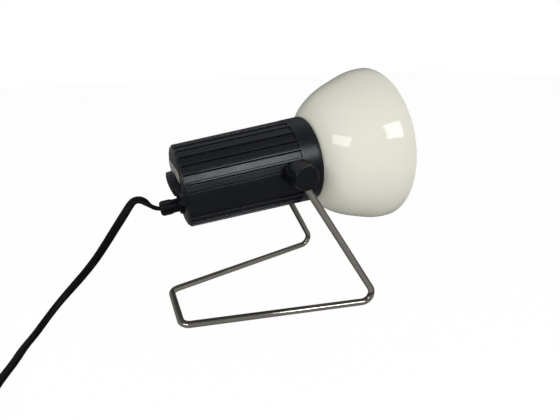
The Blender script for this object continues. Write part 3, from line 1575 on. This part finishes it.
@dataclass
class Stand:
    """The bent wire stand with a flattened eye at each end of the wire.

    Attributes:
        radius: The wire's radius.
        eye_y: The eyes' middle, to each side.
        wire_end: The wire's end, in the eye, from the knobs' axis.
        knee: Where the legs bend below the knobs, from their axis.
        front: The front corners, ahead of the knobs and to each side.
        rear: The rear corners, behind the knobs and to each side.
        bend: The corners' radius.
        knee_bend: The knees' radius.
        flattens: Distances from the knobs' axis where the wire begins to flatten and is flat.
        eye: An eye's outer radius, thickness and bore.
    """

    radius: float = 3.0
    eye_y: float = 39.85
    wire_end: float = 4.4
    knee: float = 16.2
    front: tuple[float, float] = (69.5, 65.3)
    rear: tuple[float, float] = (101.9, 28.5)
    bend: float = 9.0
    knee_bend: float = 15.0
    flattens: tuple[float, float] = (14.2, 9.3)
    eye: tuple[float, float, float] = (7.6, 3.4, 2.55)

    def bent(self, points: Array, radii: list[float]) -> Array:
        """Straight runs of wire with an arc at each corner.

        Args:
            points: The wire's ends and corners, in order.
            radii: Each corner's radius.

        Returns:
            The wire's middle line.
        """
        runs = [points[:1]]
        for before, corner, after, radius in zip(points, points[1:], points[2:], radii):
            back, on = unit(before - corner), unit(after - corner)
            half = (math.pi - math.acos(float(back @ on))) / 2
            middle = unit(back + on)
            centre = corner + middle * radius / math.cos(half)
            runs.append(straight(runs[-1][-1], corner + back * radius * math.tan(half)))
            turn = np.linspace(-half, half, 17)[1:, None]
            runs.append(centre - middle * radius * np.cos(turn) + unit(on - back) * radius * np.sin(turn))
        return np.concatenate([*runs, straight(runs[-1][-1], points[-1])])

    def wire(self) -> Surface:
        """The wire from eye to eye, which flattens and widens towards its ends.

        Its section's points are the half width times the cosine and the half thickness times
        the sine, each to a power that falls from one, a round wire, to 0.55, a flattened one.

        Returns:
            The closed wire, its thin direction level all along.
        """
        pivot = np.array(PIVOT)
        drop = np.array([self.front[0], 0.0, self.radius - PIVOT[2]])
        eye, knee = pivot + unit(drop) * self.wire_end, pivot + unit(drop) * self.knee
        middle = np.array([eye, knee, pivot + drop, (PIVOT[0] - self.rear[0], 0.0, self.radius)])
        aside = np.array([self.eye_y, self.eye_y, self.front[1], self.rear[1]])[:, None] * [0, 1, 0]
        points = np.concatenate([middle - aside, (middle + aside)[::-1]])
        path = self.bent(points, [self.knee_bend] + [self.bend] * 4 + [self.knee_bend])
        run = distance_along(path)
        near_end = self.wire_end + np.minimum(run, run[-1] - run)
        begins, full = self.flattens
        flat = ease((begins - near_end) / (begins - full))[:, None]
        widen = np.clip((full - near_end) / (full - self.wire_end), 0, 1)[:, None]
        wide, thick = self.radius + 1.3 * flat + 1.4 * widen, self.radius - 1.33 * flat
        section = stacked(*oval(full_turn(28), wide, thick, 1 - 0.45 * flat))
        return swept(path, np.cross([0.0, 0.0, 1.0], ways(path)), section)

    def eye_ring(self, side: int) -> Surface:
        """A flattened eye round the knob's stud.

        Args:
            side: -1 for the near eye, 1 for the far one.

        Returns:
            The ring. Its mark "lay" is each point's way from the pivot: up, ahead and aside.
        """
        outer, thick, bore = self.eye
        foot, top = self.eye_y - thick / 2, self.eye_y + thick / 2
        outline = rounded([(foot, bore, 0.2), (foot, outer, 0.9), (top, outer, 0.9), (top, bore, 0.2)], 5)
        ring = lathe(outline, knob_place(side), 64, wrap=True)
        spin = (ring.points - np.array(PIVOT)) * MM
        ring.marks["lay"] = spin[:, [2, 0, 1]]
        return ring

    def build(self) -> None:
        """Makes the stand."""
        parts = joined(self.wire(), self.eye_ring(-1), self.eye_ring(1))
        put("bent_wire_stand", parts, WIRE, Body.STAND, ("stand_wire",), 40)


@dataclass
class FlatCord:
    """The flat mains cord: its free run, the tied coil and the short end to the plug.

    Attributes:
        route: The free run's points, in metres, as the frame's source has them.
        end: The points between the coil and the plug, in millimetres.
        length: The whole cord's length in metres.
        width: The flat section's width.
        thickness: Its thickness.
        coil_middle: The coil's middle on the table at its entry.
        coil_radius: The coil's first radius.
        coil_step: How much nearer the middle each half turn comes.
        coil_low: Height of the coil's lower layer.
        coil_high: Height of its upper one.
        tilt_at_gland: Which way the flat faces look at the gland.
    """

    route: tuple[Spot, ...] = (
        (-0.09614, 0.0, 0.09866),
        (-0.10102, 0.0, 0.09822),
        (-0.1069, -0.0005, 0.1014),
        (-0.1107, -0.0002, 0.1058),
        (-0.1150, 0.0012, 0.1086),
        (-0.1199, 0.0022, 0.1076),
        (-0.1237, 0.0028, 0.1031),
        (-0.1277, 0.0038, 0.0973),
        (-0.1353, 0.0070, 0.0864),
        (-0.1453, 0.0112, 0.0717),
        (-0.1565, 0.0164, 0.0558),
        (-0.1691, 0.0232, 0.0401),
        (-0.1823, 0.0269, 0.0263),
        (-0.1931, 0.0264, 0.0161),
        (-0.2033, 0.0205, 0.0074),
        (-0.2115, 0.0095, 0.0022),
        (-0.2174, -0.0036, 0.0021),
        (-0.2216, -0.0195, 0.0021),
        (-0.2285, -0.0373, 0.0021),
        (-0.2317, -0.0534, 0.0026),
        (-0.2324, -0.0624, 0.0034),
        (-0.2324, -0.0704, 0.0036),
    )
    end: tuple[Spot, ...] = (
        (-317.5, -70.4, 10.6),
        (-317.5, -61.4, 10.2),
        (-319.5, -45.6, 6.85),
        (-319.5, -36.6, 6.85),
    )
    length: float = 1.8
    width: float = 6.8
    thickness: float = 3.4
    coil_middle: tuple[float, float] = (-273.675, -75.0)
    coil_radius: float = 41.275
    coil_step: float = 2.55
    coil_low: float = 3.6
    coil_high: float = 10.6
    tilt_at_gland: Spot = (-0.08, 0.43, 0.90)

    def section(self) -> Array:
        """The flat section: two half rounds joined by flats.

        Returns:
            Its points, across and up.
        """
        turn = np.linspace(-np.pi / 2, np.pi / 2, 7)
        r, reach = self.thickness / 2, (self.width - self.thickness) / 2
        right = np.stack([reach + r * np.cos(turn), r * np.sin(turn)], -1)
        left = right[::-1] * [-1, 1]
        return np.concatenate([right, [[0.0, r]], left, [[0.0, -r]]])

    def coil(self) -> Array:
        """The coil's points, in metres: sixteen for each turn.

        Angle a runs clockwise from the coil's right. Seven half turns spiral in, their distance
        from the middle falling by 2.55 mm each, one half turn climbs, and seven spiral out
        again. The middle moves by half a turn's step while the cord climbs. A point stands out
        a fiftieth further than the turn that the smooth line makes of it.

        Returns:
            The points, from the coil's entry to its exit.
        """
        half = np.arange(0, 15 * 8 + 1) / 8.0
        climb = ease(half - 7.0)
        inwards = self.coil_radius - self.coil_step * np.minimum(half, 7.5)
        radius = (inwards + self.coil_step * np.maximum(half - 7.5, 0)) / 0.981
        x = self.coil_middle[0] - self.coil_step * climb + radius * np.cos(np.pi * half)
        y = self.coil_middle[1] - radius * np.sin(np.pi * half)
        return np.stack([x, y, self.coil_low + (self.coil_high - self.coil_low) * climb], -1) * MM

    def points(self) -> Array:
        """All control points of the cord's line, from the gland's mouth to the plug."""
        return np.concatenate([np.array(self.route), self.coil(), np.array(self.end) * MM])

    def line(self) -> Array:
        """The cord's smooth middle line, read from a spline through its control points.

        Returns:
            Its points, in metres.
        """
        points = self.points()
        curve = bpy.data.curves.new("cord_line", "CURVE")
        curve.dimensions = "3D"
        curve.resolution_u = 8
        spline = curve.splines.new("NURBS")
        spline.points.add(len(points) - 1)
        spline.points.foreach_set("co", np.concatenate([points, np.ones((len(points), 1))], 1).ravel())
        spline.order_u = 3
        spline.use_endpoint_u = True
        carrier = bpy.data.objects.new("cord_line", curve)
        drawn = bpy.data.meshes.new_from_object(carrier)
        path = np.empty(len(drawn.vertices) * 3)
        drawn.vertices.foreach_get("co", path)
        bpy.data.objects.remove(carrier)
        bpy.data.curves.remove(curve)
        bpy.data.meshes.remove(drawn)
        path = path.reshape(-1, 3)
        keep = np.concatenate([[True], np.linalg.norm(np.diff(path, axis=0), axis=1) > 1e-6])
        return path[keep]

    def thin_way(self, path: Array) -> Array:
        """Which way the cord's flat faces look, all along it.

        It leaves the gland edge on, rolls over the bend until it faces the near side, lies down
        flat on the table, stands on edge in the coil, where it looks away from the middle, and
        lies flat again before the plug. Between these it turns by a smooth share.

        Args:
            path: The cord's middle line, in metres.

        Returns:
            One direction for each point.
        """
        run = distance_along(path)
        # Distances along the cord, in metres, and which way the flat faces look there.
        at, *faces = zip(
            (0.0, *self.tilt_at_gland),
            (0.010, -0.10, 0.25, 0.96),
            (0.018, -0.20, -0.15, 0.97),
            (0.028, -0.33, -0.55, 0.77),
            (0.040, -0.38, -0.80, 0.46),
            (0.060, -0.36, -0.86, 0.37),
            (0.120, -0.36, -0.80, 0.47),
            (0.150, -0.30, -0.45, 0.84),
            (0.200, 0.0, 0.0, 1.0),
        )
        free = unit(np.stack([np.interp(run, at, part) for part in faces], -1))
        x, y = path[:, 0], path[:, 1]
        start = run[np.argmin(np.abs(y + 0.045) + ((x > -0.225) | (x < -0.24)) * 9)]
        rises, falls = np.clip((run - start) / 0.03, 0, 1), np.clip((run[-1] - 0.008 - run) / 0.03, 0, 1)
        share = ease(rises * falls)[:, None]
        return free * (1 - share) + np.cross([0.0, 0.0, 1.0], ways(path)) * share

    def tie(self) -> Surface:
        """The strap round the coil: a flat section carried round a loop with round corners.

        Returns:
            The band and the strap's tail on top of it.
        """
        loop = rounded([(-121.3, 0.35, 4.0), (-93.4, 0.35, 4.0), (-93.4, 15.2, 4.5), (-121.3, 15.2, 4.5)], 8)
        out = rightwards(unit(np.roll(loop, -1, 0) - np.roll(loop, 1, 0)))
        x = np.array([-3.9, -3.7, 3.7, 3.9, 3.9, 3.7, -3.7, -3.9])
        depth = np.array([0.15, 0.0, 0.0, 0.15, -0.15, -0.3, -0.3, -0.15])
        flat = loop[:, None] + out[:, None] * depth[:, None]
        band = skin(stacked(-272.4 + x, flat[..., 0], flat[..., 1]), wrap_rows=True, capped=False)
        near, far, left, right = -117.5, -100.0, -275.9, -268.9
        tail = rounded([(left, near, 1.2), (right, near, 1.2), (right, far, 1.2), (left, far, 1.2)], 4)
        return joined(band, slab(tail, 15.15, 15.65, 0.12, Place((0, 0, 0), (0, 0, 1), (1, 0, 0), (0, 1, 0))))

    def plug(self) -> Surface:
        """The plug's body: flat ovals along Y whose half width and thickness follow a curve.

        A section's points are its half width times the cosine and its half thickness times the
        sine, each to a power below one. Grooves ring the tapered cord sleeve.

        Returns:
            The closed body.
        """
        y = np.concatenate([np.linspace(0, 20, 81), np.linspace(20.4, 54.6, 40), [55.0, 55.2, 55.3]])
        at, sides = [0, 20, 23, 39.4, 54.6, 55.0, 55.2, 55.3], [3.7, 5.0, 8.1, 13.0, 13.0, 12.8, 12.4, 12.0]
        thick = np.interp(y, [0, 20, 35.9, 54.6, 55.0, 55.2, 55.3], [3.2, 3.6, 6.8, 6.8, 6.6, 6.2, 5.8])
        sizes = np.stack([np.interp(y, at, sides), thick])
        soft = np.exp(-0.5 * (np.arange(-6, 7) / 2.5) ** 2)
        padded = np.pad(sizes, ((0, 0), (6, 6)), mode="edge")
        smooth = np.stack([np.convolve(row, soft / soft.sum(), "valid") for row in padded])
        wave = np.clip(np.cos((y - 1.6) * 2 * np.pi / 2.6) * 3 - 1.6, 0, 1)
        groove = 0.55 * wave * ((y > 2.2) & (y < 18.6))
        wide, thick = np.where(y > 52, sizes, smooth) - groove
        power = np.interp(y, [0, 20, 28], [0.7, 0.6, 0.5])[:, None]
        across, up = oval(full_turn(56), wide[:, None], thick[:, None], power)
        return skin(self.plug_place().at(stacked(y[:, None], across, up)))

    def plug_place(self) -> Place:
        """Where the cord enters the plug, along which the plug points."""
        return Place(self.end[-1], (0, 1, 0), (-1, 0, 0), (0, 0, 1))

    def pins(self, foot: float, top: float, radius: float, tip: float) -> Surface:
        """Two round pins or sleeves with rounded tips."""
        outline = rounded([(foot, 0, 0), (foot, radius, 0), (top, radius, tip), (top, 0, 0)], 6, False)
        return joined(*(lathe(outline, self.plug_place().moved(0, side * 9.3, 0), 40) for side in (-1, 1)))

    def build(self) -> None:
        """Makes the cord, its tie and its plug, and says what the cord is."""
        path = self.line()
        cover = swept(path / MM, self.thin_way(path), self.section())
        cord = put("flat_cord", cover, CORD, None, ("cord_stretch", "cord_coil", "cord_end"), 60)
        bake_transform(cord)
        tie = put("coil_strap", self.tie(), TIE_BLACK, Body.STAND, ("coil_tie",), 40)
        plug = put("mains_plug", self.plug(), PLUG_BLACK, Body.STAND, ("plug_body",), 50)
        sleeves = put("pin_sleeves", self.pins(55.0, 65.3, 1.7, 0.2), PIN_SLEEVE, Body.STAND)
        pins = put("mains_pins", self.pins(65.3, 74.3, 2.0, 0.9), PIN_METAL, Body.STAND, ("plug_pins",), 40)


# Studio


@dataclass(frozen=True)
class SoftBox:
    """A rectangular studio light that faces the lamp.

    Attributes:
        name: Its name.
        towards: Direction from the lamp to it.
        distance: How far away it stands, in metres.
        size: Its width and height, in metres.
        power: Its power, in watts.
        mirrored: Whether glossy surfaces show it.
    """

    name: str
    towards: Spot
    distance: float
    size: tuple[float, float]
    power: float
    mirrored: bool = True

    def light(self) -> None:
        """Puts the light in place."""
        lamp = bpy.data.lights.new(self.name, "AREA")
        lamp.shape = "RECTANGLE"
        lamp.size, lamp.size_y = self.size
        lamp.energy = self.power
        stand = shown(self.name, lamp)
        way = Vector(self.towards).normalized()
        stand.location = Vector((0.02, 0.0, 0.13)) + way * self.distance
        stand.rotation_euler = way.to_track_quat("Z", "Y").to_euler()
        stand.visible_glossy = self.mirrored


@dataclass
class Studio:
    """Camera, lights, white surroundings and the table that the lamp stands on.

    Attributes:
        spot: Where the camera stands, in metres.
        yaw: Its heading, from straight across the lamp towards its front.
        pitch: How far it looks down.
        roll: How far it is rolled.
        lens: Its focal length, in millimetres on a sensor of 36.
        shift: The lens's shift, as shares of the picture's width.
        boxes: The lights.
        ahead: Direction from the camera to the lamp, level.
        matt_level: How bright the surroundings are for matt surfaces.
        room: The room that glossy and clear surfaces see: two shares of looking ahead, and its
            brightness at the first and at the second.
        backdrop: What is added to it, in the same way.
    """

    spot: Spot = (-0.12679, -0.30897, 0.21629)
    yaw: float = 0.3979
    pitch: float = 0.3891
    roll: float = -0.0147
    lens: float = 25.30
    shift: tuple[float, float] = (0.00227, 0.00127)
    boxes: tuple[SoftBox, ...] = (
        SoftBox("right_softbox", (0.128, -0.835, 0.477), 1.5, (0.55, 0.53), 7.7),
        SoftBox("left_softbox", (-0.753, -0.4715, 0.349), 1.5, (0.9, 0.4), 5.9),
        SoftBox("fill", (-0.55, -0.8, 0.2), 1.4, (0.8, 0.5), 3.4, False),
    )
    ahead: Spot = (0.36, 0.933, 0.0)
    matt_level: float = 0.46
    room: tuple[float, float, float, float] = (-0.2, 0.55, 0.14, 0.42)
    backdrop: tuple[float, float, float, float] = (0.68, 0.9, 0.0, -0.32)

    def camera(self) -> None:
        """Puts the camera where the photograph was taken from."""
        lens = bpy.data.cameras.new("camera")
        lens.lens, lens.sensor_width = self.lens, 36.0
        lens.shift_x, lens.shift_y = self.shift
        lens.clip_start, lens.clip_end = 0.01, 20.0
        level = math.cos(self.pitch)
        ahead = np.array([math.sin(self.yaw) * level, math.cos(self.yaw) * level, -math.sin(self.pitch)])
        right = np.array([math.cos(self.yaw), -math.sin(self.yaw), 0.0])
        above = np.cross(right, ahead)
        c, s = math.cos(self.roll), math.sin(self.roll)
        placed = np.eye(4)
        placed[:3, :3] = np.stack([c * right + s * above, c * above - s * right, -ahead], 1)
        placed[:3, 3] = self.spot
        camera = shown("camera", lens)
        camera.matrix_world = Matrix(placed.tolist())
        bpy.context.scene.camera = camera

    def surroundings(self) -> None:
        """White for the camera and even for matt surfaces, with a dim room for glossy and clear ones.

        The room grows brighter from behind the camera to behind the lamp, and is darker again
        straight behind the lamp.
        """
        world = bpy.data.worlds.new("studio")
        bpy.context.scene.world = world
        world.use_nodes = True
        nodes = Nodes(world.node_tree)
        sockets = {0: nodes.add("ShaderNodeTexCoord").outputs["Generated"], 1: self.ahead}
        facing = nodes.add("ShaderNodeVectorMath", sockets, operation="DOT_PRODUCT").outputs["Value"]
        room = nodes.calc("ADD", nodes.spread(facing, *self.room), nodes.spread(facing, *self.backdrop))
        seen = nodes.add("ShaderNodeMix", {0: nodes.mirrored(), 2: self.matt_level, 3: room}).outputs[0]
        level = nodes.add("ShaderNodeMix", {0: nodes.ray("Is Camera Ray"), 2: seen, 3: 1.0}).outputs[0]
        glow = nodes.add("ShaderNodeBackground", {"Color": (1, 1, 1, 1), "Strength": level})
        nodes.add("ShaderNodeOutputWorld", {0: glow.outputs[0]})

    def table(self) -> None:
        """The pale table: a wide sheet whose shadow shows only faintly against the white."""
        x, y = np.meshgrid([-3.0, 3.0], [-3.0, 3.0])
        mesh = bpy.data.meshes.new("table")
        mesh.from_pydata(stacked(x, y, 0.0).reshape(-1, 3).tolist(), [], [[0, 1, 3, 2]])
        recipe = Recipe("white_table")
        cloud = recipe.noise(recipe.where(), 12, 3)
        recipe.paint(recipe.tint(cloud, (0.78, 0.78, 0.78), (0.82, 0.82, 0.82)))
        recipe.fix(Roughness=0.9, Specular_IOR_Level=0.0)
        camera, mirrored = recipe.ray("Is Camera Ray"), recipe.mirrored()
        back = recipe.add("ShaderNodeSeparateXYZ", {0: recipe.where()}).outputs[1]
        sheen = recipe.product(mirrored, recipe.spread(back, 0.7, 1.6, 0.12, 1.0))
        strength = recipe.calc("MAXIMUM", sheen, recipe.calc("MULTIPLY", camera, 1.02))
        glow = recipe.add("ShaderNodeEmission", {"Color": (1, 1, 1, 1), "Strength": strength})
        share = recipe.calc("MULTIPLY", recipe.calc("MAXIMUM", camera, mirrored), 0.94)
        mix = recipe.add("ShaderNodeMixShader", {0: share, 1: recipe.shader.outputs[0], 2: glow.outputs[0]})
        recipe.link(mix.outputs[0], recipe.output.inputs["Surface"])
        mesh.materials.append(recipe.material)
        shown("table", mesh)

    def build(self) -> None:
        """Sets up the camera, the lights, the surroundings and the table."""
        self.camera()
        for box in self.boxes:
            box.light()
        self.surroundings()
        self.table()
        bpy.context.scene.view_settings.view_transform = "Standard"


def main() -> None:
    """Builds the studio and every sub-assembly of the lamp, in order."""
    logging.basicConfig(level=logging.INFO, format="%(name)s: %(message)s")
    parts = (Studio(), FlatCord(), Barrel(), RearEnd(), Gland(), Shade(), Bulb(), Knob(-1), Knob(1), Stand())
    for part in parts:
        part.build()


if __name__ == "__main__":
    main()
